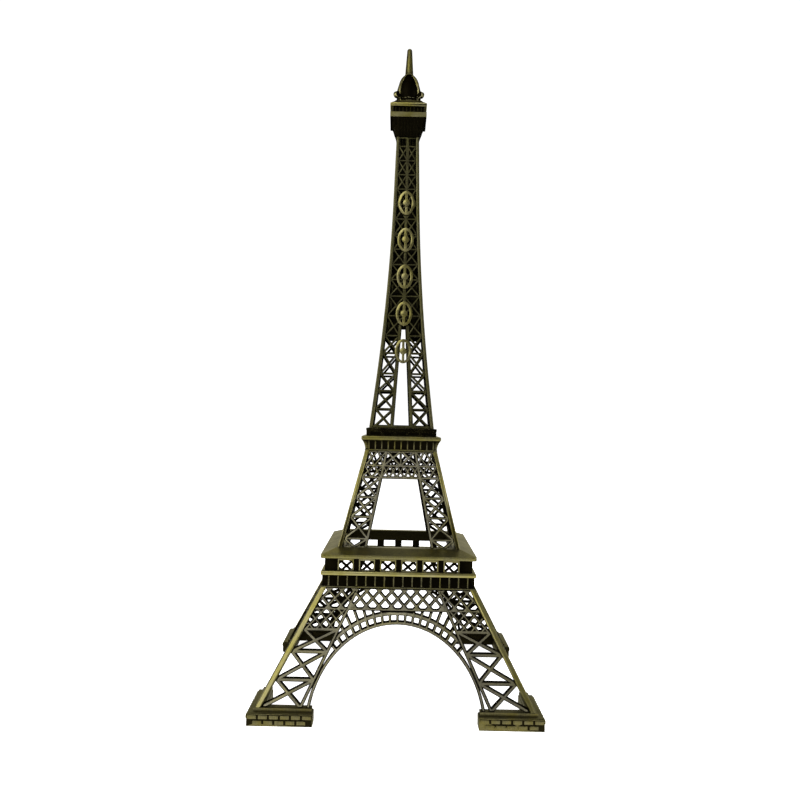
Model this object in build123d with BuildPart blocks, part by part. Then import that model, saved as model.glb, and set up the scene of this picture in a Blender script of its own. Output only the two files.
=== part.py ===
from build123d import *

import os
from math import atan2, cos, degrees, hypot, radians, sin

# A miniature lattice tower for a shelf: thin cast lattice panels and arches soldered between corner
# rails, on four L-shaped masonry feet, with two ribbed friezes and decks, a capital, a dome and a spire.
#
# Millimetres, +Z up, origin on the ground at the centre of the base. The front faces -Y.
# Every level is square in plan, and its half-width changes with height. A panel is a front-view
# lattice run along Y that keeps only the sloping wall of its stage. A rail is the meeting of the same
# strip seen from the front and from the side.

# ---------------------------------------------------------------- driving dimensions
base_half = 73.9                # half of the width over the feet
foot_height = 6.35
foot_gap_half = 41.3            # half of the gap between neighbouring feet
foot_wall = 8.0
plinth_height = 1.5             # the step on the foot that the lattice stands on
plinth_set_back = 2.9
plinth_wall = 4.9

rail_inset = 3.6                # from the outside of a foot to the rail that stands on it
lower_top_half = 42.0           # half-width over the rails at the top of the lower stage
lower_height = 53.75

frieze_1_height = 6.5
frieze_1_half = 41.3
cornice_1_height = 2.4
cornice_1_half = 42.2
gallery_1_height = 6.55
gallery_1_half = 40.2
deck_1_edge = 2.15              # thickness of the first deck at its rim
deck_1_rise = 2.8               # climb of its hipped top, from the rim to the middle stage
deck_1_half = 42.4

middle_foot_half = 33.8
middle_top_half = 20.7
middle_height = 53.0

frieze_2_height = 6.1
deck_2_height = 2.35
deck_2_half = 22.8
parapet_2_height = 4.5
parapet_2_half = 20.3

upper_foot_half = 18.7
upper_knee_half = 9.26          # where the two straight tapers of the upper stage would meet
upper_knee_height = 80.0
upper_knee_radius = 1300.0
upper_top_half = 6.75
upper_height = 175.1

capital_flare_height = 10.45
capital_height = 13.6
capital_half = 10.85
balcony_height = 3.4
roof_height = 2.1
roof_half = 10.95
roof_step_height = 2.75
dome_base_height = 4.2              # the ring and the upright foot of the dome
dome_height = 13.9
spire_base_radius = 2.55
spire_tip_radius = 1.55
overall_height = 380.0

lower_rail_size = 3.3
middle_rail_size = 2.4
upper_rail_size = 1.9
lower_wall = 1.9                # thickness of the lattice panels
middle_wall = 1.5
upper_wall = 1.4
upper_web = 0.45                # the blind backs of the openings high on the upper panels
panel_set_back = 0.5            # how far the panels lie behind the faces of the rails
fit_clearance = 0.1             # all round every tenon, lip and plug

# ---------------------------------------------------------------- sizes and levels that follow
foot_arm = base_half - foot_gap_half
lower_foot_half = base_half - rail_inset
plinth_top = foot_height + plinth_height
lower_top = plinth_top + lower_height
frieze_1_top = lower_top + frieze_1_height
cornice_1_top = frieze_1_top + cornice_1_height
gallery_1_top = cornice_1_top + gallery_1_height
deck_1_rim_top = gallery_1_top + deck_1_edge
deck_1_top = deck_1_rim_top + deck_1_rise
middle_top = deck_1_top + middle_height
frieze_2_top = middle_top + frieze_2_height
deck_2_top = frieze_2_top + deck_2_height
parapet_2_top = deck_2_top + parapet_2_height
upper_knee = parapet_2_top + upper_knee_height
upper_top = parapet_2_top + upper_height
capital_top = upper_top + capital_height
balcony_top = capital_top + balcony_height
roof_top = balcony_top + roof_height + roof_step_height
dome_base_top = roof_top + dome_base_height
dome_top = dome_base_top + dome_height

reach = 2 * base_half           # long enough for every run and cut that passes right through
turns = (("front", 0), ("right", 90), ("back", 180), ("left", 270))
corners = (("front_left", 0), ("front_right", 90), ("back_right", 180), ("back_left", 270))

os.makedirs("parts", exist_ok=True)


# ---------------------------------------------------------------- outlines of the three stages
def lower_edge(inwards, side):
    foot = (side * (lower_foot_half - inwards), plinth_top)
    return Line(foot, (side * (lower_top_half - inwards), lower_top))


def middle_edge(inwards, side):
    foot = (side * (middle_foot_half - inwards), deck_1_top)
    return Line(foot, (side * (middle_top_half - inwards), middle_top))


def upper_edge(inwards, side):
    return FilletPolyline(
        (side * (upper_foot_half - inwards), parapet_2_top),
        (side * (upper_knee_half - inwards), upper_knee),
        (side * (upper_top_half - inwards), upper_top),
        radius=upper_knee_radius,
    )


def lower_half(z):
    return lower_foot_half - (lower_foot_half - lower_top_half) * (z - plinth_top) / lower_height


def middle_half(z):
    return middle_foot_half - (middle_foot_half - middle_top_half) * (z - deck_1_top) / middle_height


def strip(plane, edge, outside, inside):
    """The strip between an outline moved in by two distances, on the negative side of a plane."""
    with BuildSketch(plane) as section:
        with BuildLine():
            outer = edge(outside, -1)
            inner = edge(inside, -1)
            Line(outer @ 0, inner @ 0)
            Line(outer @ 1, inner @ 1)
        make_face()
    return section.sketch


def between(edge, inwards):
    """The whole face of a stage, from one outline to its mirror image, as a front view."""
    with BuildSketch() as face:
        with BuildLine():
            left = edge(inwards, -1)
            right = edge(inwards, 1)
            Line(left @ 0, right @ 0)
            Line(left @ 1, right @ 1)
        make_face()
    return face.sketch


def polygon(*points):
    return Polygon(*points, align=None, mode=Mode.PRIVATE)


# ---------------------------------------------------------------- bars of a lattice, as front views
def bar(start, end, width):
    (x0, z0), (x1, z1) = start, end
    flat = Rectangle(hypot(x1 - x0, z1 - z0), width, mode=Mode.PRIVATE)
    return flat.moved(Location(((x0 + x1) / 2, (z0 + z1) / 2, 0), (0, 0, degrees(atan2(z1 - z0, x1 - x0)))))


def cross(outer_low, inner_low, outer_high, inner_high, width):
    return [bar(outer_low, inner_high, width), bar(inner_low, outer_high, width)]


def diamonds(first, last, low, high, pitch, width):
    """Bars leaning both ways between two levels, crossing each other every pitch."""
    rise = high - low
    bars = []
    x = first
    while x <= last:
        bars.append(bar((x - rise / 2, low), (x + rise / 2, high), width))
        bars.append(bar((x + rise / 2, low), (x - rise / 2, high), width))
        x += pitch
    return bars


def crosses(low_ends, high_ends, low, high, count, width):
    """Neighbouring crosses that fill the space between two sloping sides."""
    bars = []
    for number in range(count):
        lows = [low_ends[0] + (low_ends[1] - low_ends[0]) * n / count for n in (number, number + 1)]
        highs = [high_ends[0] + (high_ends[1] - high_ends[0]) * n / count for n in (number, number + 1)]
        bars += cross((lows[0], low), (lows[1], low), (highs[0], high), (highs[1], high), width)
    return bars


def mirrored(bars):
    return bars + [flat.mirror(Plane.YZ) for flat in bars]


# ---------------------------------------------------------------- feet
brick_length = 4.3
brick_height = 1.75
brick_pitch = foot_arm / 6
brick_proud = 0.5
lower_tenon_radius = 0.9
lower_tenon_depth = 4.0
lower_rail_centre = -(lower_foot_half - lower_rail_size / 2)
plinth_half = base_half - plinth_set_back
plinth_arm = foot_arm - plinth_set_back - 0.8


def corner_plan(half, arm, wall):
    """The plan of an L in the front left corner."""
    near, far, back = -half, -half + arm, -half + wall
    return polygon((near, near), (far, near), (far, back), (back, back), (back, far), (near, far))


with BuildPart() as bricks:
    for height, first, count in ((0.72, 0.5, 6), (0.31, 1.0, 5)):
        with BuildSketch(Plane.XZ.offset(base_half)):
            for number in range(count):
                with Locations((-base_half + brick_pitch * (first + number), foot_height * height)):
                    Rectangle(brick_length, brick_height)
        extrude(amount=brick_proud)

with BuildPart() as foot:
    with BuildSketch():
        add(corner_plan(base_half, foot_arm, foot_wall))
    extrude(amount=foot_height)
    chamfer(foot.edges().group_by(Axis.Z)[-1], 0.5)
    with BuildSketch(Plane.XY.offset(foot_height)):
        add(corner_plan(plinth_half, plinth_arm, plinth_wall))
    extrude(amount=plinth_height)
    add(bricks.part)
    add(bricks.part.rotate(Axis.Z, -90).mirror(Plane.XZ))
    with BuildSketch(Plane.XY.offset(plinth_top)):
        with Locations((lower_rail_centre, lower_rail_centre)):
            Circle(lower_tenon_radius + fit_clearance)
    extrude(amount=-lower_tenon_depth - fit_clearance, mode=Mode.SUBTRACT)
for name, turn in corners:
    piece = foot.part.rotate(Axis.Z, turn)
    piece.label = f"foot_{name}"
    export_step(piece, f"parts/foot_{name}.step")

# ---------------------------------------------------------------- lower stage: rails
with BuildPart() as lower_rail:
    extrude(strip(Plane.YZ, lower_edge, 0, lower_rail_size), amount=reach, both=True)
    extrude(strip(Plane.XZ, lower_edge, 0, lower_rail_size), amount=reach, both=True, mode=Mode.INTERSECT)
    fillet(lower_rail.edges().filter_by(lambda e: abs(e.tangent_at(0.5).Z) > 0.5), 0.8)
    with BuildSketch(Plane.XY.offset(plinth_top)):
        with Locations((lower_rail_centre, lower_rail_centre)):
            Circle(lower_tenon_radius)
    extrude(amount=-lower_tenon_depth)
for name, turn in corners:
    piece = lower_rail.part.rotate(Axis.Z, turn)
    piece.label = f"lower_rail_{name}"
    export_step(piece, f"parts/lower_rail_{name}.step")

# ---------------------------------------------------------------- lower stage: panels
leg_foot_in = 47.8              # the inner bar of a leg, from the middle of the face
leg_lean = 0.487                # and how far it comes in for each millimetre of height
leg_levels = (plinth_top, 19.4, 31.7, 41.85)
belt_level = 51.4
leg_bar = 1.8
leg_chord = 1.9
leg_brace = 1.9
belt_chord = 1.4
belt_bar = 1.6
leg_belt_bar = 1.5
leg_belt_pitch = 5.5
belt_pitch = 6.75


def leg_in(z):
    return leg_foot_in - leg_lean * (z - plinth_top)


def lower_side(z):
    return lower_half(z) - lower_rail_size


leg_area = polygon(
    (-lower_side(plinth_top), plinth_top),
    (-leg_in(plinth_top), plinth_top),
    (-leg_in(belt_level), belt_level),
    (-lower_side(belt_level), belt_level),
)
belt_area = polygon(
    (-lower_side(belt_level), belt_level),
    (lower_side(belt_level), belt_level),
    (lower_side(lower_top), lower_top),
    (-lower_side(lower_top), lower_top),
)
leg_braces = []
for low, high in zip(leg_levels, leg_levels[1:]):
    leg_braces += cross(
        (-lower_side(low), low),
        (-leg_in(low), low),
        (-lower_side(high), high),
        (-leg_in(high), high),
        leg_brace,
    )
leg_braces += diamonds(-60.0, -20.0, leg_levels[-1], belt_level, leg_belt_pitch, leg_belt_bar)
leg_frame = [bar((-leg_in(plinth_top), plinth_top), (-leg_in(lower_top), lower_top), leg_bar)]
for z in leg_levels[1:]:
    leg_frame.append(bar((-lower_side(z) - leg_chord, z), (-leg_in(z), z), leg_chord))
belt_lattice = diamonds(-8 * belt_pitch, 8 * belt_pitch, belt_level, lower_top, belt_pitch, belt_bar)
with BuildSketch() as belt_panes:
    add(belt_lattice)
    add(belt_area, mode=Mode.INTERSECT)
belt_frame = [
    bar((-lower_side(belt_level), belt_level), (lower_side(belt_level), belt_level), belt_chord),
    bar((-lower_side(lower_top), lower_top - 0.4), (lower_side(lower_top), lower_top - 0.4), 0.8),
]

with BuildPart() as lower_panel:
    extrude(
        strip(Plane.YZ, lower_edge, panel_set_back, panel_set_back + lower_wall),
        amount=reach,
        both=True,
    )
    with BuildSketch(Plane.XZ):
        add(leg_braces)
        add(leg_area, mode=Mode.INTERSECT)
        mirror(about=Plane.YZ)
        add(belt_panes.sketch)
        add(mirrored(leg_frame) + belt_frame)
        add(between(lower_edge, lower_rail_size), mode=Mode.INTERSECT)
    extrude(amount=reach, both=True, mode=Mode.INTERSECT)
for name, turn in turns:
    piece = lower_panel.part.rotate(Axis.Z, turn)
    piece.label = f"lower_panel_{name}"
    export_step(piece, f"parts/lower_panel_{name}.step")

# ---------------------------------------------------------------- lower stage: arches
arch_centre = 1.0
arch_radius = 43.6              # of the underside
arch_rim = 1.7
arcade_height = 2.6             # the row of small windows over the rim
arcade_ring = 2.0
spoke_width = 1.5
spoke_step = 5.0                # degrees
spokes_each_side = 9
arch_wall = 2.8
arcade_outer = arch_radius + arch_rim + arcade_height + arcade_ring

belt_underside = belt_level - belt_chord / 2
leg_bar_reach = leg_bar / 2 * hypot(1, leg_lean)
spandrel = polygon(
    (-leg_in(plinth_top) + leg_bar_reach, plinth_top),
    (leg_in(plinth_top) - leg_bar_reach, plinth_top),
    (leg_in(belt_underside) - leg_bar_reach, belt_underside),
    (-leg_in(belt_underside) + leg_bar_reach, belt_underside),
)
spokes = []
for number in range(-spokes_each_side, spokes_each_side + 1):
    lean = radians(spoke_step * number)
    start = (arch_radius * sin(lean), arch_centre + arch_radius * cos(lean))
    end = (base_half * sin(lean), arch_centre + base_half * cos(lean))
    spokes.append(bar(start, end, spoke_width))

with BuildPart() as arch:
    extrude(strip(Plane.YZ, lower_edge, 0.1, 0.1 + arch_wall), amount=reach, both=True)
    with BuildSketch(Plane.XZ):
        with Locations((0, arch_centre)):
            Circle(arcade_outer)
            Circle(arcade_outer - arcade_ring, mode=Mode.SUBTRACT)
            Circle(arch_radius + arch_rim)
        add(spokes)
        with Locations((0, arch_centre)):
            Circle(arch_radius, mode=Mode.SUBTRACT)
        add(spandrel, mode=Mode.INTERSECT)
    extrude(amount=reach, both=True, mode=Mode.INTERSECT)
for name, turn in turns:
    piece = arch.part.rotate(Axis.Z, turn)
    piece.label = f"arch_{name}"
    export_step(piece, f"parts/arch_{name}.step")

# ---------------------------------------------------------------- first deck
frieze_1_wall = 3.0
frieze_1_ribs = 16
frieze_1_rib_pitch = 5.02
frieze_rib_width = 0.7
frieze_rib_proud = 0.35
frieze_1_foot = 1.0             # height of the moulding under the ribs
gallery_1_wall = 2.0
gallery_windows = 6
gallery_pitch = 11.5
gallery_window_width = 7.2
gallery_rib_width = 0.8         # the upright mouldings beside the windows
gallery_rib_proud = 0.3
gallery_window_height = 5.3
cornice_1_opening = 37.6
deck_1_opening = 30.2
deck_1_lip = 1.2

with BuildPart() as frieze_1:
    with BuildSketch(Plane.XY.offset(lower_top)):
        Rectangle(2 * lower_top_half, 2 * lower_top_half)
    extrude(amount=frieze_1_foot)
    chamfer(frieze_1.edges().group_by(Axis.Z)[-1], 0.4)
    with BuildSketch(Plane.XY.offset(lower_top)):
        Rectangle(2 * frieze_1_half, 2 * frieze_1_half)
    extrude(amount=frieze_1_height)
    for side in (Plane.XZ, Plane.YZ):
        with BuildSketch(side):
            with Locations((0, lower_top + frieze_1_height / 2)):
                with GridLocations(frieze_1_rib_pitch, 1, frieze_1_ribs, 1):
                    Rectangle(frieze_rib_width, frieze_1_height)
        extrude(amount=frieze_1_half + frieze_rib_proud, both=True)
    with BuildSketch(Plane.XY.offset(lower_top)):
        Rectangle(2 * (frieze_1_half - frieze_1_wall), 2 * (frieze_1_half - frieze_1_wall))
    extrude(amount=frieze_1_height, mode=Mode.SUBTRACT)
frieze_1.part.label = "frieze_1"
export_step(frieze_1.part, "parts/frieze_1.step")

with BuildPart() as cornice_1:
    with BuildSketch(Plane.XY.offset(frieze_1_top)):
        Rectangle(2 * cornice_1_half, 2 * cornice_1_half)
        Rectangle(2 * cornice_1_opening, 2 * cornice_1_opening, mode=Mode.SUBTRACT)
    extrude(amount=cornice_1_height)
    chamfer(cornice_1.edges().group_by(Axis.Z)[-1].sort_by_distance((0, 0, cornice_1_top))[-4:], 0.6)
cornice_1.part.label = "cornice_1"
export_step(cornice_1.part, "parts/cornice_1.step")

gallery_rib_offset = (gallery_window_width + gallery_rib_width) / 2

with BuildPart() as gallery_1:
    with BuildSketch(Plane.XY.offset(cornice_1_top)):
        Rectangle(2 * gallery_1_half, 2 * gallery_1_half)
    extrude(amount=gallery_1_height)
    for side in (Plane.XZ, Plane.YZ):
        for offset in (-gallery_rib_offset, gallery_rib_offset):
            with BuildSketch(side):
                with Locations((offset, cornice_1_top + gallery_1_height / 2)):
                    with GridLocations(gallery_pitch, 1, gallery_windows, 1):
                        Rectangle(gallery_rib_width, gallery_1_height)
            extrude(amount=gallery_1_half + gallery_rib_proud, both=True)
    with BuildSketch(Plane.XY.offset(cornice_1_top)):
        Rectangle(2 * (gallery_1_half - gallery_1_wall), 2 * (gallery_1_half - gallery_1_wall))
    extrude(amount=gallery_1_height, mode=Mode.SUBTRACT)
    for side in (Plane.XZ, Plane.YZ):
        with BuildSketch(side):
            with Locations((0, cornice_1_top + gallery_window_height / 2)):
                with GridLocations(gallery_pitch, 1, gallery_windows, 1):
                    Rectangle(gallery_window_width, gallery_window_height)
        extrude(amount=reach, both=True, mode=Mode.SUBTRACT)
gallery_1.part.label = "gallery_1"
export_step(gallery_1.part, "parts/gallery_1.step")

middle_tenon_radius = 0.7
middle_tenon_depth = 3.0
middle_rail_centre = -(middle_foot_half - middle_rail_size / 2)
deck_1_crown = middle_foot_half + 0.7
lip_half = gallery_1_half - gallery_1_wall - fit_clearance

with BuildPart() as deck_1:
    with BuildSketch(Plane.XY.offset(gallery_1_top)):
        RectangleRounded(2 * deck_1_half, 2 * deck_1_half, 1.5)
    extrude(amount=deck_1_edge)
    fillet(deck_1.edges().group_by(Axis.Z)[0], 0.5)
    with BuildSketch(Plane.XY.offset(deck_1_rim_top)):
        RectangleRounded(2 * deck_1_half - 0.6, 2 * deck_1_half - 0.6, 1.2)
    with BuildSketch(Plane.XY.offset(deck_1_top)):
        RectangleRounded(2 * deck_1_crown, 2 * deck_1_crown, 0.8)
    loft()
    with BuildSketch(Plane.XY.offset(gallery_1_top)):
        Rectangle(2 * lip_half, 2 * lip_half)
    extrude(amount=-deck_1_lip)
    with BuildSketch(Plane.XY.offset(deck_1_top)):
        Rectangle(2 * deck_1_opening, 2 * deck_1_opening)
    extrude(amount=-2 * gallery_1_height, mode=Mode.SUBTRACT)
    with BuildSketch(Plane.XY.offset(deck_1_top)):
        with GridLocations(2 * middle_rail_centre, 2 * middle_rail_centre, 2, 2):
            Circle(middle_tenon_radius + fit_clearance)
    extrude(amount=-middle_tenon_depth - fit_clearance, mode=Mode.SUBTRACT)
deck_1.part.label = "deck_1"
export_step(deck_1.part, "parts/deck_1.step")

# ---------------------------------------------------------------- middle stage
with BuildPart() as middle_rail:
    extrude(strip(Plane.YZ, middle_edge, 0, middle_rail_size), amount=reach, both=True)
    extrude(strip(Plane.XZ, middle_edge, 0, middle_rail_size), amount=reach, both=True, mode=Mode.INTERSECT)
    fillet(middle_rail.edges().filter_by(lambda e: abs(e.tangent_at(0.5).Z) > 0.5), 0.5)
    with BuildSketch(Plane.XY.offset(deck_1_top)):
        with Locations((middle_rail_centre, middle_rail_centre)):
            Circle(middle_tenon_radius)
    extrude(amount=-middle_tenon_depth)
for name, turn in corners:
    piece = middle_rail.part.rotate(Axis.Z, turn)
    piece.label = f"middle_rail_{name}"
    export_step(piece, f"parts/middle_rail_{name}.step")

stage_foot_in = 18.5            # the inner bar of a middle leg, at the deck
stage_lean = 0.195
stage_levels = (86.5, 98.2, 108.9, 120.0)
low_belt = 120.0
high_belt = 126.6
stage_bar = 1.8
stage_brace = 1.6
stage_chord = 1.5
stage_belt_bar = 1.3
centre_crosses = 5
leg_crosses = 2


def stage_in(z):
    return stage_foot_in - stage_lean * (z - deck_1_top)


def middle_side(z):
    return middle_half(z) - middle_rail_size


def leg_crosses_between(low, high, count, width):
    low_ends = (-middle_side(low), -stage_in(low))
    high_ends = (-middle_side(high), -stage_in(high))
    return crosses(low_ends, high_ends, low, high, count, width)


def centre_crosses_between(low, high, count, width):
    low_ends = (-stage_in(low), stage_in(low))
    high_ends = (-stage_in(high), stage_in(high))
    return crosses(low_ends, high_ends, low, high, count, width)


leg_middle = -(middle_side(deck_1_top) + stage_in(deck_1_top)) / 2
stage_leg = [
    bar((-stage_in(deck_1_top), deck_1_top), (-stage_in(middle_top), middle_top), stage_bar),
    bar((-middle_side(86.5), 86.5), (leg_middle, deck_1_top), stage_brace),
    bar((-stage_in(86.5), 86.5), (leg_middle, deck_1_top), stage_brace),
]
for low, high in zip(stage_levels, stage_levels[1:]):
    stage_leg += leg_crosses_between(low, high, 1, stage_brace)
for low, high in ((low_belt, high_belt), (high_belt, middle_top)):
    stage_leg += leg_crosses_between(low, high, leg_crosses, stage_belt_bar)
for z in stage_levels[:-1]:
    stage_leg.append(bar((-middle_side(z) - stage_chord, z), (-stage_in(z), z), stage_chord))
stage_belt = [bar((0, high_belt), (0, middle_top), stage_belt_bar)]
for z in (low_belt, high_belt, middle_top - 0.4):
    chord_half = middle_side(z) + stage_chord
    stage_belt.append(bar((-chord_half, z), (chord_half, z), stage_chord))
stage_belt += centre_crosses_between(low_belt, high_belt, centre_crosses, stage_belt_bar)
stage_belt += centre_crosses_between(high_belt, middle_top, 2, stage_brace)

with BuildPart() as middle_panel:
    extrude(
        strip(Plane.YZ, middle_edge, panel_set_back, panel_set_back + middle_wall),
        amount=reach,
        both=True,
    )
    with BuildSketch(Plane.XZ):
        add(mirrored(stage_leg) + stage_belt)
        add(between(middle_edge, middle_rail_size), mode=Mode.INTERSECT)
    extrude(amount=reach, both=True, mode=Mode.INTERSECT)
for name, turn in turns:
    piece = middle_panel.part.rotate(Axis.Z, turn)
    piece.label = f"middle_panel_{name}"
    export_step(piece, f"parts/middle_panel_{name}.step")

# ---------------------------------------------------------------- second deck
frieze_2_ribs = 11
frieze_2_rib_pitch = 3.69
frieze_2_opening = 17.0
deck_2_opening = 12.0
frieze_2_foot = 0.9
parapet_slab = 1.3
upper_tenon_radius = 0.55
upper_tenon_depth = 2.0
upper_rail_centre = -(upper_foot_half - upper_rail_size / 2)


def cove(plane, low_half, high_half, low, high):
    """The section of a square moulding that curves outwards on its way up."""
    with BuildSketch(plane) as section:
        with BuildLine():
            ThreePointArc(
                (low_half, low),
                (low_half + (high_half - low_half) * 0.3, low + (high - low) * 0.62),
                (high_half, high),
            )
            Polyline((high_half, high), (0, high), (0, low), (low_half, low))
        make_face()
        mirror(about=Plane.YZ)
    return section.sketch


cove_foot = middle_top_half - 0.4
cove_head = deck_2_half - 0.5

with BuildPart() as frieze_2_ribs_y:
    extrude(
        cove(Plane.YZ, cove_foot + frieze_rib_proud, cove_head + frieze_rib_proud, middle_top, frieze_2_top),
        amount=cove_foot,
        both=True,
    )
    with BuildSketch(Plane.XZ):
        with Locations((0, middle_top + frieze_2_height / 2)):
            with GridLocations(frieze_2_rib_pitch, 1, frieze_2_ribs, 1):
                Rectangle(frieze_rib_width, frieze_2_height)
    extrude(amount=reach, both=True, mode=Mode.INTERSECT)

with BuildPart() as frieze_2:
    extrude(cove(Plane.YZ, cove_foot, cove_head, middle_top, frieze_2_top), amount=reach, both=True)
    with BuildSketch(Plane.XZ):
        add(cove(Plane.XY, cove_foot, cove_head, middle_top, frieze_2_top))
    extrude(amount=reach, both=True, mode=Mode.INTERSECT)
    add(frieze_2_ribs_y.part)
    add(frieze_2_ribs_y.part.rotate(Axis.Z, 90))
    with BuildSketch(Plane.XY.offset(middle_top)):
        Rectangle(2 * middle_top_half, 2 * middle_top_half)
    extrude(amount=frieze_2_foot)
    with BuildSketch(Plane.XY.offset(middle_top)):
        Rectangle(2 * frieze_2_opening, 2 * frieze_2_opening)
    extrude(amount=frieze_2_height, mode=Mode.SUBTRACT)
frieze_2.part.label = "frieze_2"
export_step(frieze_2.part, "parts/frieze_2.step")

deck_2_lip = 1.5
with BuildPart() as deck_2:
    with BuildSketch(Plane.XY.offset(frieze_2_top)):
        RectangleRounded(2 * deck_2_half, 2 * deck_2_half, 1.0)
    extrude(amount=deck_2_height)
    fillet(deck_2.edges().group_by(Axis.Z)[0] + deck_2.edges().group_by(Axis.Z)[-1], 0.7)
    with BuildSketch(Plane.XY.offset(frieze_2_top)):
        Rectangle(2 * (frieze_2_opening - fit_clearance), 2 * (frieze_2_opening - fit_clearance))
    extrude(amount=-deck_2_lip)
    with BuildSketch(Plane.XY.offset(deck_2_top)):
        Rectangle(2 * deck_2_opening, 2 * deck_2_opening)
    extrude(amount=-2 * deck_2_height, mode=Mode.SUBTRACT)
deck_2.part.label = "deck_2"
export_step(deck_2.part, "parts/deck_2.step")

parapet_panels = 5
parapet_panel_pitch = 7.4
parapet_panel_width = 6.2
parapet_panel_height = 1.9
parapet_panel_depth = 0.5
parapet_slab_bottom = parapet_2_top - parapet_slab

with BuildPart() as parapet_2:
    with BuildSketch(Plane.XY.offset(deck_2_top)):
        Rectangle(2 * parapet_2_half - 0.4, 2 * parapet_2_half - 0.4)
    extrude(amount=parapet_2_height)
    for side in (Plane.XZ, Plane.YZ):
        for out in (1, -1):
            with BuildSketch(side.offset(out * parapet_2_half)):
                with Locations((0, (deck_2_top + parapet_slab_bottom) / 2)):
                    with GridLocations(parapet_panel_pitch, 1, parapet_panels, 1):
                        Rectangle(parapet_panel_width, parapet_panel_height)
            extrude(amount=-out * (parapet_panel_depth + 0.2), mode=Mode.SUBTRACT)
    with BuildSketch(Plane.XY.offset(parapet_slab_bottom)):
        Rectangle(2 * parapet_2_half, 2 * parapet_2_half)
    extrude(amount=parapet_slab)
    with BuildSketch(Plane.XY.offset(parapet_2_top)):
        Rectangle(2 * deck_2_opening, 2 * deck_2_opening)
    extrude(amount=-parapet_2_height, mode=Mode.SUBTRACT)
    with BuildSketch(Plane.XY.offset(parapet_2_top)):
        with GridLocations(2 * upper_rail_centre, 2 * upper_rail_centre, 2, 2):
            Circle(upper_tenon_radius + fit_clearance)
    extrude(amount=-upper_tenon_depth - fit_clearance, mode=Mode.SUBTRACT)
parapet_2.part.label = "parapet_2"
export_step(parapet_2.part, "parts/parapet_2.step")

# ---------------------------------------------------------------- upper stage
with BuildPart() as upper_rail:
    extrude(strip(Plane.YZ, upper_edge, 0, upper_rail_size), amount=reach, both=True)
    extrude(strip(Plane.XZ, upper_edge, 0, upper_rail_size), amount=reach, both=True, mode=Mode.INTERSECT)
    with BuildSketch(Plane.XY.offset(parapet_2_top)):
        with Locations((upper_rail_centre, upper_rail_centre)):
            Circle(upper_tenon_radius)
    extrude(amount=-upper_tenon_depth)
for name, turn in corners:
    piece = upper_rail.part.rotate(Axis.Z, turn)
    piece.label = f"upper_rail_{name}"
    export_step(piece, f"parts/upper_rail_{name}.step")

upper_levels = (159.1, 169.7, 179.9, 192.0, 202.4, 214.3, 226.1, 236.1, 245.2,
                254.5, 263.7, 272.9, 282.1, 291.1, 299.9, 308.5, 317.2)
slit_top = 209.0
slit_half = 4.7                 # half-width of the open slit at its foot
slit_top_half = 1.1
slit_bar = 2.1
centre_bar = 2.1
upper_brace = 1.25
upper_chord = 1.2
blind_foot = upper_levels[4]    # the openings above this level have backs
louvre_width = 0.6
louvre_pitch = 1.5
louvres = 7
upper_foot_chord = 1.8


upper_outline = upper_edge(upper_rail_size, 1)


def upper_side(z):
    """Half-width between the upper rails, where a level line crosses their inner outline."""
    return upper_outline.intersect(Line((0, z), (reach, z)))[0].X


def slit_side(z):
    """The middle of the bar beside the slit, or the middle of the face above the slit."""
    if z > slit_top:
        return 0
    rise = (z - parapet_2_top) / (slit_top - parapet_2_top)
    return slit_half + (slit_top_half - slit_half) * rise + slit_bar / 2


upper_foot = (-upper_foot_half + upper_rail_size, parapet_2_top)
upper_frame = [
    bar((-slit_side(parapet_2_top), parapet_2_top), (-slit_side(slit_top), slit_top), slit_bar),
    bar((0, slit_top), (0, upper_top), centre_bar),
    bar((-upper_foot_half, parapet_2_top), (0, parapet_2_top), 2 * upper_foot_chord),
    bar((-upper_foot_half, upper_top), (0, upper_top), 2 * upper_chord),
]
for number in range(1, louvres):
    louvre = -number * louvre_pitch
    upper_frame.append(bar((louvre, upper_levels[-1]), (louvre, upper_top), louvre_width))
for z in upper_levels:
    upper_frame.append(bar((-upper_side(z) - upper_rail_size, z), (-slit_side(z), z), upper_chord))
foot_ends = [(upper_foot, (-slit_side(parapet_2_top), parapet_2_top))]
level_ends = foot_ends + [((-upper_side(z), z), (-slit_side(z), z)) for z in upper_levels]
for (outer_low, inner_low), (outer_high, inner_high) in zip(level_ends, level_ends[1:]):
    upper_frame += cross(outer_low, inner_low, outer_high, inner_high, upper_brace)

with BuildPart() as upper_backs:
    extrude(
        strip(Plane.YZ, upper_edge, panel_set_back + upper_wall - upper_web, panel_set_back + upper_wall),
        amount=reach,
        both=True,
    )
    with BuildSketch(Plane.XZ):
        add(between(upper_edge, upper_rail_size))
        with Locations((0, (blind_foot + upper_top) / 2)):
            Rectangle(2 * upper_foot_half, upper_top - blind_foot, mode=Mode.INTERSECT)
        with BuildLine():
            Polyline(
                (-slit_side(blind_foot), blind_foot),
                (-slit_side(slit_top), slit_top),
                (slit_side(slit_top), slit_top),
                (slit_side(blind_foot), blind_foot),
                close=True,
            )
        make_face(mode=Mode.SUBTRACT)
    extrude(amount=reach, both=True, mode=Mode.INTERSECT)

with BuildPart() as upper_panel:
    extrude(
        strip(Plane.YZ, upper_edge, panel_set_back, panel_set_back + upper_wall),
        amount=reach,
        both=True,
    )
    with BuildSketch(Plane.XZ):
        add(mirrored(upper_frame))
        add(between(upper_edge, upper_rail_size), mode=Mode.INTERSECT)
    extrude(amount=reach, both=True, mode=Mode.INTERSECT)
    add(upper_backs.part)
for name, turn in turns:
    piece = upper_panel.part.rotate(Axis.Z, turn)
    piece.label = f"upper_panel_{name}"
    export_step(piece, f"parts/upper_panel_{name}.step")

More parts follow.
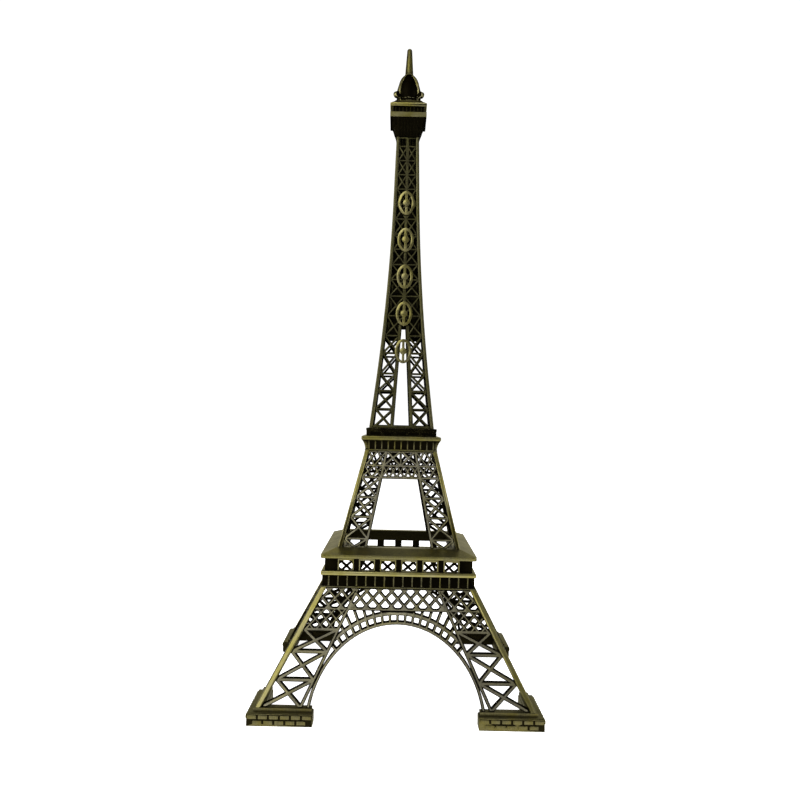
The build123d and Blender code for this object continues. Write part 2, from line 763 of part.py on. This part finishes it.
# ---------------------------------------------------------------- ornaments on the front
ornament_count = 5
ornament_first = 193.2
ornament_pitch = 22.3
ornament_width = 9.6
ornament_height = 14.4
ornament_stroke = 1.5
ornament_proud = 1.0
boss_radius = 2.0
boss_proud = 1.5

for number in range(ornament_count):
    middle = ornament_first + number * ornament_pitch
    with BuildPart() as boss:
        extrude(
            strip(Plane.YZ, upper_edge, panel_set_back - boss_proud, panel_set_back),
            amount=reach,
            both=True,
        )
        with BuildSketch(Plane.XZ):
            with Locations((0, middle)):
                Circle(boss_radius)
        extrude(amount=reach, both=True, mode=Mode.INTERSECT)
    with BuildPart() as ornament:
        extrude(
            strip(Plane.YZ, upper_edge, panel_set_back - ornament_proud, panel_set_back),
            amount=reach,
            both=True,
        )
        with BuildSketch(Plane.XZ):
            with Locations((0, middle)):
                Ellipse(ornament_width / 2, ornament_height / 2)
                Ellipse(
                    ornament_width / 2 - ornament_stroke,
                    ornament_height / 2 - ornament_stroke,
                    mode=Mode.SUBTRACT,
                )
                Rectangle(ornament_stroke, ornament_height)
        extrude(amount=reach, both=True, mode=Mode.INTERSECT)
        add(boss.part)
    ornament.part.label = f"ornament_{number + 1}"
    export_step(ornament.part, f"parts/ornament_{number + 1}.step")

# ---------------------------------------------------------------- capital
capital_foot_half = 6.75
capital_plug = upper_top_half - upper_rail_size - fit_clearance
capital_plug_depth = 4.0
capital_ribs = 7
capital_rib_pitch = 1.9
capital_rib_width = 0.6
capital_rib_proud = 0.25
flare_profile = ((0.25, 2.4), (1.65, 6.4), (2.55, 9.4), (3.05, capital_flare_height))
flare_top = upper_top + capital_flare_height
spigot_radius = 3.0
spigot_depth = 2.0


def flare(plane, proud):
    """The section of the capital, from its foot to the top of its band."""
    with BuildSketch(plane) as section:
        with BuildLine():
            start = (capital_foot_half + proud, upper_top)
            side = Spline(start, *[(start[0] + out, upper_top + up) for out, up in flare_profile])
            Polyline(side @ 1, (0, flare_top), (0, upper_top), start)
        make_face()
        mirror(about=Plane.YZ)
    return section.sketch


with BuildPart() as capital_ribs_y:
    extrude(flare(Plane.YZ, capital_rib_proud), amount=capital_foot_half, both=True)
    with BuildSketch(Plane.XZ):
        with Locations((0, upper_top + capital_height / 2)):
            with GridLocations(capital_rib_pitch, 1, capital_ribs, 1):
                Rectangle(capital_rib_width, 2 * capital_height)
    extrude(amount=reach, both=True, mode=Mode.INTERSECT)

with BuildPart() as capital:
    extrude(flare(Plane.YZ, 0), amount=reach, both=True)
    with BuildSketch(Plane.XZ):
        add(flare(Plane.XY, 0))
    extrude(amount=reach, both=True, mode=Mode.INTERSECT)
    add(capital_ribs_y.part)
    add(capital_ribs_y.part.rotate(Axis.Z, 90))
    with BuildSketch(Plane.XY.offset(flare_top)):
        Rectangle(2 * capital_half, 2 * capital_half)
    extrude(amount=capital_height - capital_flare_height)
    chamfer(capital.edges().group_by(Axis.Z)[-1], 0.25)
    with BuildSketch(Plane.XY.offset(upper_top)):
        Rectangle(2 * capital_plug, 2 * capital_plug)
    extrude(amount=-capital_plug_depth)
    with BuildSketch(Plane.XY.offset(capital_top)):
        Circle(spigot_radius + fit_clearance)
    extrude(amount=-spigot_depth - fit_clearance, mode=Mode.SUBTRACT)
capital.part.label = "capital"
export_step(capital.part, "parts/capital.step")

# ---------------------------------------------------------------- balcony and roof
balcony_core = 9.2
balcony_post = 1.5
baluster_width = 0.5
baluster_pitch = 2.2
balusters = 8
balcony_half = capital_half - 0.3

with BuildPart() as balcony:
    with BuildSketch(Plane.XY.offset(capital_top)):
        Rectangle(2 * balcony_core, 2 * balcony_core)
        with GridLocations(2 * balcony_half - balcony_post, 2 * balcony_half - balcony_post, 2, 2):
            Rectangle(balcony_post, balcony_post)
        with GridLocations(baluster_pitch, 2 * balcony_core, balusters, 2):
            Rectangle(baluster_width, baluster_width * 2)
        with GridLocations(2 * balcony_core, baluster_pitch, 2, balusters):
            Rectangle(baluster_width * 2, baluster_width)
    extrude(amount=balcony_height)
    with BuildSketch(Plane.XY.offset(capital_top)):
        Circle(spigot_radius)
    extrude(amount=-spigot_depth)
    with BuildSketch(Plane.XY.offset(balcony_top)):
        Circle(spigot_radius + fit_clearance)
    extrude(amount=-spigot_depth - fit_clearance, mode=Mode.SUBTRACT)
balcony.part.label = "balcony"
export_step(balcony.part, "parts/balcony.step")

roof_rim = 1.75                 # height of the upright edge
roof_step_half = 8.8
roof_neck_half = 7.6
with BuildPart() as roof:
    with BuildSketch(Plane.XY.offset(balcony_top)):
        Rectangle(2 * roof_half, 2 * roof_half)
    extrude(amount=roof_rim)
    with BuildSketch(Plane.XY.offset(balcony_top + roof_rim)):
        Rectangle(2 * roof_half, 2 * roof_half)
    with BuildSketch(Plane.XY.offset(roof_top - roof_step_height / 2)):
        Rectangle(2 * roof_step_half, 2 * roof_step_half)
    loft()
    with BuildSketch(Plane.XY.offset(roof_top - roof_step_height / 2)):
        Rectangle(2 * roof_step_half, 2 * roof_step_half)
    with BuildSketch(Plane.XY.offset(roof_top)):
        Rectangle(2 * roof_neck_half, 2 * roof_neck_half)
    loft()
    with BuildSketch(Plane.XY.offset(balcony_top)):
        Circle(spigot_radius)
    extrude(amount=-spigot_depth)
    with BuildSketch(Plane.XY.offset(roof_top)):
        Circle(spigot_radius + fit_clearance)
    extrude(amount=-spigot_depth - fit_clearance, mode=Mode.SUBTRACT)
roof.part.label = "roof"
export_step(roof.part, "parts/roof.step")

# ---------------------------------------------------------------- dome and spire
ring_height = 2.0
ring_radius = 7.6
dome_radius = 7.35
dome_middle_radius = 5.4
dome_middle = 9.7               # height of that radius above the upright foot of the dome
dome_top_radius = 2.3
dome_rib = 1.2
dome_rib_proud = 1.0
scroll_radius = 1.9
scroll_length = 2.2
scroll_reach = 10.2             # from the axis, along the diagonal
scroll_drop = 0.5               # how far the scrolls hang below the top of the ring
collar_radius = 2.8
collar_height = 0.5
spire_tenon_radius = 1.2
spire_tenon_depth = 4.0
tip_centre = overall_height - spire_tip_radius


def dome_half(out, floor):
    """Half of the dome's section, grown outwards, from a floor up to the foot of the spire."""
    with BuildSketch(Plane.XZ) as section:
        with BuildLine():
            curve = ThreePointArc(
                (dome_radius + out, dome_base_top),
                (dome_middle_radius + 0.8 * out, dome_base_top + dome_middle + 0.6 * out),
                (dome_top_radius + 0.5 * out, dome_top),
            )
            Polyline(curve @ 1, (0, dome_top), (0, floor), (dome_radius + out, floor), curve @ 0)
        make_face()
    return section.sketch


with BuildPart() as dome_ribs:
    extrude(dome_half(dome_rib_proud, roof_top + ring_height), amount=dome_rib / 2, both=True)
    mirror(about=Plane.YZ)
    with BuildSketch(Plane.XZ):
        with Locations((0, roof_top + ring_height + scroll_radius - scroll_drop)):
            with GridLocations(2 * scroll_reach, 1, 2, 1):
                Circle(scroll_radius)
            Rectangle(2 * scroll_reach, scroll_radius)
    extrude(amount=scroll_length / 2, both=True)

with BuildPart() as dome:
    revolve(dome_half(0, roof_top), axis=Axis.Z)
    with BuildSketch(Plane.XY.offset(roof_top)):
        Circle(ring_radius)
    extrude(amount=ring_height)
    for turn in (45, 135):
        add(dome_ribs.part.rotate(Axis.Z, turn))
    with BuildSketch(Plane.XY.offset(roof_top)):
        Circle(spigot_radius)
    extrude(amount=-spigot_depth)
    with BuildSketch(Plane.XY.offset(dome_top)):
        Circle(spire_tenon_radius + fit_clearance)
    extrude(amount=-spire_tenon_depth - fit_clearance, mode=Mode.SUBTRACT)
dome.part.label = "dome"
export_step(dome.part, "parts/dome.step")

with BuildPart() as spire:
    with BuildSketch(Plane.XY.offset(dome_top)):
        Circle(collar_radius)
    extrude(amount=collar_height)
    with BuildSketch(Plane.XZ):
        with BuildLine():
            Polyline((0, dome_top), (spire_base_radius, dome_top), (spire_tip_radius, tip_centre))
            RadiusArc((spire_tip_radius, tip_centre), (0, overall_height), -spire_tip_radius)
            Line((0, overall_height), (0, dome_top))
        make_face()
    revolve(axis=Axis.Z)
    with BuildSketch(Plane.XY.offset(dome_top)):
        Circle(spire_tenon_radius)
    extrude(amount=-spire_tenon_depth)
spire.part.label = "spire"
export_step(spire.part, "parts/spire.step")
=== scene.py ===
import math

import bmesh
import bpy
from mathutils import Matrix, Vector


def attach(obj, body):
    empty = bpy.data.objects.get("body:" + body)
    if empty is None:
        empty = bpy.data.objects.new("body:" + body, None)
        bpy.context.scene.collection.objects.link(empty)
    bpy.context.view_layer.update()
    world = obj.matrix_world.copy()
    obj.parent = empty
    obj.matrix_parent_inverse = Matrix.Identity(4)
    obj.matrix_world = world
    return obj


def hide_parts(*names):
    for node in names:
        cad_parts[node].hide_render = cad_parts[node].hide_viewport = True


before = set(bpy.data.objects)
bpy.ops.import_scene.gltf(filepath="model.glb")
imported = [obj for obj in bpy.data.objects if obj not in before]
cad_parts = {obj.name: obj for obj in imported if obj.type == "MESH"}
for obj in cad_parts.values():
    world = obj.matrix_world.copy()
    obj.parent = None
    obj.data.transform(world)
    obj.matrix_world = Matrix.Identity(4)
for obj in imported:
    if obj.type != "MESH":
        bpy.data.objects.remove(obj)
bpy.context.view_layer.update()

print("frame loaded:", len(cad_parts), "castings")


# ---- small helpers
def mm(value):
    return value / 1000


def hexColour(text):
    # sRGB hex to the linear values that a shader wants
    parts = [int(text[i:i + 2], 16) / 255 for i in (0, 2, 4)]
    return [p / 12.92 if p <= 0.04045 else ((p + 0.055) / 1.055) ** 2.4 for p in parts] + [1.0]


def addNode(tree, kind, settings=None, links=None):
    # one node, its settings, and what feeds each of its inputs
    node = tree.nodes.new(kind)
    for key, value in (settings or {}).items():
        if isinstance(key, str) and hasattr(node, key):
            setattr(node, key, value)
        else:
            node.inputs[key].default_value = value
    for socket, source in (links or {}).items():
        tree.links.new(source, node.inputs[socket])
    return node


# ---- camera
# place in mm, turns in radians, lens in mm
cameraSettings = {
    "place": (-2.6, -435.8, 151.65), "yaw": 0.0033, "pitch": 0.0306, "roll": 0.0226, "lens": 32.53,
}


def makeCamera():
    data = bpy.data.cameras.new("camera")
    data.lens = cameraSettings["lens"]
    data.sensor_width = 36
    data.clip_start = 0.01
    camera = bpy.data.objects.new("camera", data)
    bpy.context.scene.collection.objects.link(camera)
    yaw, pitch, roll = (cameraSettings[k] for k in ("yaw", "pitch", "roll"))
    forward = Vector((math.sin(yaw) * math.cos(pitch), math.cos(yaw) * math.cos(pitch), math.sin(pitch)))
    right = Vector((math.cos(yaw), -math.sin(yaw), 0))
    up = right.cross(forward)
    right, up = right * math.cos(roll) + up * math.sin(roll), up * math.cos(roll) - right * math.sin(roll)
    turn = Matrix((right, up, -forward)).transposed().to_4x4()
    camera.matrix_world = Matrix.Translation(Vector([mm(v) for v in cameraSettings["place"]])) @ turn
    bpy.context.scene.camera = camera


makeCamera()
print("camera placed")

# ---- floor and light
stageSettings = {
    "floorSize": 6.0, "paper": "ffffff", "paperRoughness": 0.9, "paperGlow": 0.95, "frontGlow": 0.4,
    "frontStart": -0.5, "frontEnd": -0.18,
    "behindModel": 1.08, "behindCamera": 0.13, "blendStart": 0.3, "blendEnd": 0.72,
}
# place and target in mm, size in mm, power in watts
lampSettings = {
    "keyBox": {"place": (-500, -900, 860), "target": (0, 0, 140), "size": (800, 700), "power": 7},
    "rightStrip": {"place": (760, -520, 330), "target": (0, 0, 150), "size": (160, 900), "power": 4},
    "leftStrip": {"place": (-700, -240, 260), "target": (0, 0, 120), "size": (180, 800), "power": 4},
    "topBox": {"place": (0, -150, 1150), "target": (0, 0, 60), "size": (500, 500), "power": 5},
}


def makeFloor():
    bm = bmesh.new()
    bmesh.ops.create_grid(bm, x_segments=1, y_segments=1, size=stageSettings["floorSize"] / 2)
    mesh = bpy.data.meshes.new("floor")
    bm.to_mesh(mesh)
    bm.free()
    floor = bpy.data.objects.new("floor", mesh)
    bpy.context.scene.collection.objects.link(floor)
    paper = bpy.data.materials.new("whitePaperFloor")
    paper.use_nodes = True
    shader = paper.node_tree.nodes["Principled BSDF"]
    shader.inputs["Base Color"].default_value = hexColour(stageSettings["paper"])
    shader.inputs["Roughness"].default_value = stageSettings["paperRoughness"]
    shader.inputs["Emission Color"].default_value = hexColour(stageSettings["paper"])
    # the paper glows so that no shadow shows, less so towards the camera, where it would light the castings
    place = addNode(paper.node_tree, "ShaderNodeTexCoord").outputs["Object"]
    axes = addNode(paper.node_tree, "ShaderNodeSeparateXYZ", {}, {"Vector": place})
    glow = addNode(
        paper.node_tree, "ShaderNodeMapRange",
        {
            "interpolation_type": "SMOOTHSTEP",
            "From Min": stageSettings["frontStart"], "From Max": stageSettings["frontEnd"],
            "To Min": stageSettings["frontGlow"], "To Max": stageSettings["paperGlow"],
        },
        {"Value": axes.outputs["Y"]},
    )
    paper.node_tree.links.new(glow.outputs["Result"], shader.inputs["Emission Strength"])
    mesh.materials.append(paper)


def makeWorld():
    # white behind the model, dim behind the camera so that the dark plating stays dark
    world = bpy.data.worlds.new("studio")
    world.use_nodes = True
    tree = world.node_tree
    way = addNode(tree, "ShaderNodeTexCoord")
    axes = addNode(tree, "ShaderNodeSeparateXYZ", {}, {"Vector": way.outputs["Generated"]})
    level = addNode(
        tree, "ShaderNodeMapRange",
        {
            "interpolation_type": "SMOOTHSTEP",
            "From Min": stageSettings["blendStart"], "From Max": stageSettings["blendEnd"],
            "To Min": stageSettings["behindCamera"], "To Max": stageSettings["behindModel"],
        },
        {"Value": axes.outputs["Y"]},
    )
    background = tree.nodes["Background"]
    background.inputs["Color"].default_value = hexColour(stageSettings["paper"])
    tree.links.new(level.outputs["Result"], background.inputs["Strength"])
    bpy.context.scene.world = world
    bpy.context.scene.view_settings.view_transform = "Standard"


def makeLamps():
    for name, settings in lampSettings.items():
        data = bpy.data.lights.new(name, "AREA")
        data.shape = "RECTANGLE"
        data.size, data.size_y = (mm(v) for v in settings["size"])
        data.energy = settings["power"]
        lamp = bpy.data.objects.new(name, data)
        bpy.context.scene.collection.objects.link(lamp)
        place = Vector([mm(v) for v in settings["place"]])
        aim = Vector([mm(v) for v in settings["target"]]) - place
        lamp.rotation_euler = aim.to_track_quat("-Z", "Y").to_euler()
        lamp.location = place


makeFloor()
makeWorld()
makeLamps()
print("stage ready")

# ---- finishes
# Zinc alloy castings in antique bronze plating. The "rub" attribute says how far the plating is brushed
# back to brass: about 1 on the faces turned outwards, 0 in the recesses.
# low, high: the wear at which brass starts and is complete; broad, grain, scratch: pattern sizes in mm;
# glanceTintAndShade: the tint of a glancing reflection, brass on the rubbed and masonry finishes; on the
# lattice, shaft and dark finishes it is painted shade, dimmed so that faces seen edge-on don't mirror the
# bright world behind
bronzeSettings = {
    "rubbedBronze": {
        "patina": "1d1a0c", "brass": "87815c", "warm": "79723a", "low": 0.32, "high": 0.95,
        "broad": 14.0, "grain": 0.9, "scratch": 0.35, "glanceTintAndShade": "e8e4cc",
        "patinaRoughness": 0.5, "brassRoughness": 0.32,
    },
    "latticeBronze": {
        "patina": "0c0a05", "brass": "99947f", "warm": "7c7757", "low": 0.36, "high": 1.02,
        "broad": 12.0, "grain": 0.7, "scratch": 0.3, "glanceTintAndShade": "8c8972",
        "patinaRoughness": 0.6, "brassRoughness": 0.34,
    },
    "shaftBronze": {
        "patina": "0c0b05", "brass": "6b6748", "warm": "535030", "low": 0.36, "high": 1.05,
        "broad": 11.0, "grain": 0.7, "scratch": 0.3, "glanceTintAndShade": "77745f",
        "patinaRoughness": 0.56, "brassRoughness": 0.38,
    },
    "darkBronze": {
        "patina": "0b0904", "brass": "8a8563", "warm": "686234", "low": 0.42, "high": 1.05,
        "broad": 9.0, "grain": 0.6, "scratch": 0.3, "glanceTintAndShade": "55533f",
        "patinaRoughness": 0.5, "brassRoughness": 0.34,
    },
    "masonryBronze": {
        "patina": "1a170a", "brass": "837d58", "warm": "665f34", "low": 0.38, "high": 1.05,
        "broad": 6.0, "grain": 0.8, "scratch": 0.5, "glanceTintAndShade": "e8e4cc",
        "patinaRoughness": 0.55, "brassRoughness": 0.4,
    },
}
# how much each pattern adds to the wear, and the fine relief of the cast skin and the brush strokes
wearSettings = {
    "broadShare": 0.5, "grainShare": 0.3, "rubShare": 0.9, "strokeShare": 0.2, "start": -0.33,
    "toneLow": 0.35, "toneHigh": 0.65, "roughShare": 0.16, "roughStart": 0.08, "strokeStretch": 0.08,
    "skinSize": 0.45, "skinStrength": 0.22, "skinDepth": 0.06, "strokeStrength": 0.12, "strokeDepth": 0.03,
}


def noise(tree, place, size, detail, stretch=None):
    source = place
    if stretch:
        source = addNode(tree, "ShaderNodeMapping", {"Scale": stretch}, {"Vector": place}).outputs["Vector"]
    settings = {"Scale": 1 / mm(size), "Detail": detail, "Roughness": 0.6}
    return addNode(tree, "ShaderNodeTexNoise", settings, {"Vector": source}).outputs["Fac"]


def weigh(tree, value, factor, add):
    # value * factor + add, where add is a number or another value
    node = addNode(tree, "ShaderNodeMath", {"operation": "MULTIPLY_ADD", 1: factor}, {0: value})
    if isinstance(add, (int, float)):
        node.inputs[2].default_value = add
    else:
        tree.links.new(add, node.inputs[2])
    return node.outputs[0]


def mixColours(tree, factor, first, second):
    node = addNode(tree, "ShaderNodeMix", {"data_type": "RGBA"}, {0: factor})
    for socket, colour in ((6, first), (7, second)):
        if isinstance(colour, str):
            node.inputs[socket].default_value = hexColour(colour)
        else:
            tree.links.new(colour, node.inputs[socket])
    return node.outputs[2]


def makeBronze(name, settings):
    material = bpy.data.materials.new(name)
    material.use_nodes = True
    tree = material.node_tree
    shader = tree.nodes["Principled BSDF"]
    wear = wearSettings
    place = addNode(tree, "ShaderNodeTexCoord").outputs["Object"]
    rub = addNode(tree, "ShaderNodeAttribute", {"attribute_name": "rub"}).outputs["Fac"]
    broad = noise(tree, place, settings["broad"], 3)
    grain = noise(tree, place, settings["grain"], 4)
    strokes = noise(tree, place, settings["scratch"], 2, (1.0, 1.0, wear["strokeStretch"]))
    worn = weigh(tree, grain, wear["grainShare"], weigh(tree, rub, wear["rubShare"], wear["start"]))
    worn = weigh(tree, broad, wear["broadShare"], worn)
    worn = weigh(tree, strokes, wear["strokeShare"], worn)
    amount = addNode(
        tree, "ShaderNodeMapRange",
        {"interpolation_type": "SMOOTHSTEP", "From Min": settings["low"], "From Max": settings["high"]},
        {"Value": worn},
    ).outputs["Result"]
    tone = addNode(
        tree, "ShaderNodeMapRange",
        {"From Min": wear["toneLow"], "From Max": wear["toneHigh"]}, {"Value": broad},
    )
    metal = mixColours(tree, tone.outputs["Result"], settings["brass"], settings["warm"])
    colour = mixColours(tree, amount, settings["patina"], metal)
    tree.links.new(colour, shader.inputs["Base Color"])
    shader.inputs["Metallic"].default_value = 1.0
    # a dim tint on grazing reflections is painted shade on the lattice, shaft and dark finishes
    shader.inputs["Specular Tint"].default_value = hexColour(settings["glanceTintAndShade"])
    change = settings["brassRoughness"] - settings["patinaRoughness"]
    rough = weigh(tree, grain, wear["roughShare"], settings["patinaRoughness"] - wear["roughStart"])
    rough = weigh(tree, amount, change, rough)
    tree.links.new(rough, shader.inputs["Roughness"])
    skin = noise(tree, place, wear["skinSize"], 3)
    castSkin = addNode(
        tree, "ShaderNodeBump",
        {"Strength": wear["skinStrength"], "Distance": mm(wear["skinDepth"])}, {"Height": skin},
    )
    brushing = addNode(
        tree, "ShaderNodeBump", {"Strength": wear["strokeStrength"], "Distance": mm(wear["strokeDepth"])},
        {"Height": strokes, "Normal": castSkin.outputs["Normal"]},
    )
    tree.links.new(brushing.outputs["Normal"], shader.inputs["Normal"])
    return material


bronzes = {name: makeBronze(name, settings) for name, settings in bronzeSettings.items()}
print("finishes ready")

# ---- castings
# bevel in mm; edgeRub: how far the bevels are rubbed; reach: how much of the rub a face keeps;
# top: the rub of a face turned upwards; wide, tall: a face larger than this, in mm, is the wall of a recess;
# litAbove: a height in mm over which every face is rubbed; diagonal: faces where |x| and |y| differ by less
# than this, in mm, are the ribs and scrolls on the diagonals, rubbed as far as diagonalRub
castingSettings = {
    "foot": {"bronze": "masonryBronze", "bevel": 0.3, "segments": 2, "edgeRub": 0.8, "reach": 0.62, "top": 0.5},
    "lower_rail": {
        "bronze": "rubbedBronze", "bevel": 0.0, "segments": 1,
        "edgeRub": 1.0, "reach": 1.0, "top": 0.5,
    },
    "middle_rail": {
        "bronze": "rubbedBronze", "bevel": 0.0, "segments": 1,
        "edgeRub": 1.0, "reach": 1.0, "top": 0.5,
    },
    "upper_rail": {
        "bronze": "shaftBronze", "bevel": 0.3, "segments": 2,
        "edgeRub": 0.8, "reach": 0.65, "top": 0.5,
    },
    "lower_panel": {
        "bronze": "latticeBronze", "bevel": 0.5, "segments": 1,
        "edgeRub": 0.03, "reach": 0.74, "top": 0.0,
    },
    "middle_panel": {
        "bronze": "latticeBronze", "bevel": 0.4, "segments": 1,
        "edgeRub": 0.03, "reach": 0.7, "top": 0.0,
    },
    "upper_panel": {
        "bronze": "shaftBronze", "bevel": 0.28, "segments": 1,
        "edgeRub": 0.03, "reach": 0.54, "top": 0.0,
    },
    "arch": {
        "bronze": "latticeBronze", "bevel": 0.46, "segments": 1,
        "edgeRub": 0.05, "reach": 0.8, "top": 0.0,
    },
    "frieze": {
        "bronze": "darkBronze", "bevel": 0.12, "segments": 1, "edgeRub": 0.7, "reach": 0.6, "top": 0.3,
        "wide": 1.5, "tall": 1.6,
    },
    "cornice": {
        "bronze": "rubbedBronze", "bevel": 0.3, "segments": 2,
        "edgeRub": 1.0, "reach": 0.9, "top": 0.5,
    },
    "gallery": {
        "bronze": "darkBronze", "bevel": 0.12, "segments": 1, "edgeRub": 0.6, "reach": 0.8, "top": 0.3,
        "wide": 1.5, "tall": 1.6,
    },
    "deck": {"bronze": "rubbedBronze", "bevel": 0.4, "segments": 2, "edgeRub": 1.0, "reach": 0.62, "top": 0.5},
    "parapet": {"bronze": "darkBronze", "bevel": 0.2, "segments": 1, "edgeRub": 1.0, "reach": 0.3, "top": 0.6},
    "ornament": {
        "bronze": "rubbedBronze", "bevel": 0.25, "segments": 2,
        "edgeRub": 0.7, "reach": 0.75, "top": 0.5,
    },
    "capital": {
        "bronze": "darkBronze", "bevel": 0.0, "segments": 1, "edgeRub": 0.35, "reach": 0.12, "top": 0.1,
        "wide": 0.9, "litAbove": 333.6,
    },
    "balcony": {"bronze": "darkBronze", "bevel": 0.15, "segments": 1, "edgeRub": 0.6, "reach": 0.4, "top": 0.3},
    "roof": {"bronze": "rubbedBronze", "bevel": 0.3, "segments": 2, "edgeRub": 1.1, "reach": 0.45, "top": 0.15},
    "dome": {
        "bronze": "darkBronze", "bevel": 0.3, "segments": 2, "edgeRub": 1.6, "reach": 0.15, "top": 0.1,
        "diagonal": 0.95, "diagonalRub": 1.1,
    },
    "spire": {"bronze": "rubbedBronze", "bevel": 0.2, "segments": 2, "edgeRub": 0.6, "reach": 0.45, "top": 0.4},
}
castSettings = {
    "merge": 0.002, "flat": 0.5, "sharp": 30, "fineBevel": 0.15,        # mm, degrees, degrees, mm
    "frontLimit": 0.8, "recessShare": 0.55, "recessRub": 0.1, "litRub": 0.75, "bevelBase": 0.4,
}
# the lattice panels are rubbed and bevelled only on the side that they face
frontFamilies = ("lower_panel", "middle_panel", "upper_panel", "arch")
facings = {
    "front": Vector((0, -1, 0)), "right": Vector((1, 0, 0)),
    "back": Vector((0, 1, 0)), "left": Vector((-1, 0, 0)),
}
sharpAngle = math.radians(castSettings["sharp"])


def outwardness(face, facing):
    # how far a face is turned away from the tower's axis, from 0 to 1
    normal = face.normal
    if facing:
        return max(0.0, normal.dot(facing))
    middle = face.calc_center_median()
    return max(0.0, math.copysign(1, middle.x) * normal.x, math.copysign(1, middle.y) * normal.y)


def markRecesses(bm, wide, tall):
    # a face whose outline is mostly inside corners, or a broad wall between ribs, lies in a recess,
    # where the brush doesn't reach
    recess = bm.faces.layers.float.new("recess")
    for face in bm.faces:
        inside = outside = 0.0
        for edge in face.edges:
            if len(edge.link_faces) == 2 and edge.calc_face_angle(0) > sharpAngle:
                if edge.is_convex:
                    outside += edge.calc_length()
                else:
                    inside += edge.calc_length()
        corners = [v.co for v in face.verts]
        spans = [max(c[axis] for c in corners) - min(c[axis] for c in corners) for axis in range(3)]
        broad = wide and max(spans[:2]) > mm(wide) and spans[2] > mm(tall)
        walled = inside > castSettings["recessShare"] * (inside + outside)
        face[recess] = 1.0 if broad or walled else 0.0


def castingCopy(name, family, settings):
    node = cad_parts[name]
    facing = facings[name.split("_")[-1]] if family in frontFamilies else None
    bm = bmesh.new()
    bm.from_mesh(node.data)
    bmesh.ops.remove_doubles(bm, verts=bm.verts, dist=mm(castSettings["merge"]))
    if family not in frontFamilies and settings["bevel"] > castSettings["fineBevel"]:
        flat = math.radians(castSettings["flat"])
        bmesh.ops.dissolve_limit(bm, angle_limit=flat, verts=bm.verts, edges=bm.edges)
    markRecesses(bm, settings.get("wide"), settings.get("tall", 0))
    bevelled = set()
    if settings["bevel"]:
        sharp = []
        for edge in bm.edges:
            if len(edge.link_faces) != 2 or edge.calc_face_angle(0) < sharpAngle or not edge.is_convex:
                continue
            if facing and max(f.normal.dot(facing) for f in edge.link_faces) < castSettings["frontLimit"]:
                continue
            sharp.append(edge)
        made = bmesh.ops.bevel(
            bm, geom=sharp, offset=mm(settings["bevel"]), offset_type="OFFSET", affect="EDGES",
            segments=settings["segments"], profile=0.5, material=-1, clamp_overlap=family not in frontFamilies,
        )
        bevelled = set(made["faces"])
    layer = bm.loops.layers.float.new("rub")
    recess = bm.faces.layers.float["recess"]
    bm.normal_update()
    for face in bm.faces:
        centre = face.calc_center_median()
        lit = settings.get("litAbove") and centre.z > mm(settings["litAbove"])
        value = outwardness(face, facing) ** 2 * (castSettings["litRub"] if lit else settings["reach"])
        value = max(value, face.normal.z * settings["top"])
        if settings.get("diagonal") and abs(abs(centre.x) - abs(centre.y)) < mm(settings["diagonal"]):
            value = max(value, settings["diagonalRub"] * outwardness(face, None))
        if face in bevelled:
            base = castSettings["bevelBase"]
            value = settings["edgeRub"] * (base + (1 - base) * outwardness(face, facing))
        elif face[recess] > 0.5 and not lit:
            value *= castSettings["recessRub"]
        for loop in face.loops:
            loop[layer] = value
    mesh = bpy.data.meshes.new(name + "_casting")
    bm.to_mesh(mesh)
    bm.free()
    mesh.shade_smooth()
    mesh.set_sharp_from_angle(angle=sharpAngle)
    mesh.materials.clear()
    mesh.materials.append(bronzes[settings["bronze"]])
    piece = bpy.data.objects.new(name + "_casting", mesh)
    bpy.context.scene.collection.objects.link(piece)
    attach(piece, "root")
    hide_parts(name)
    return len(mesh.polygons)


for family, settings in castingSettings.items():
    names = sorted(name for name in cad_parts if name.startswith(family))
    counts = [castingCopy(name, family, settings) for name in names]
    print(family, len(names), "castings,", max(counts), "faces at most")
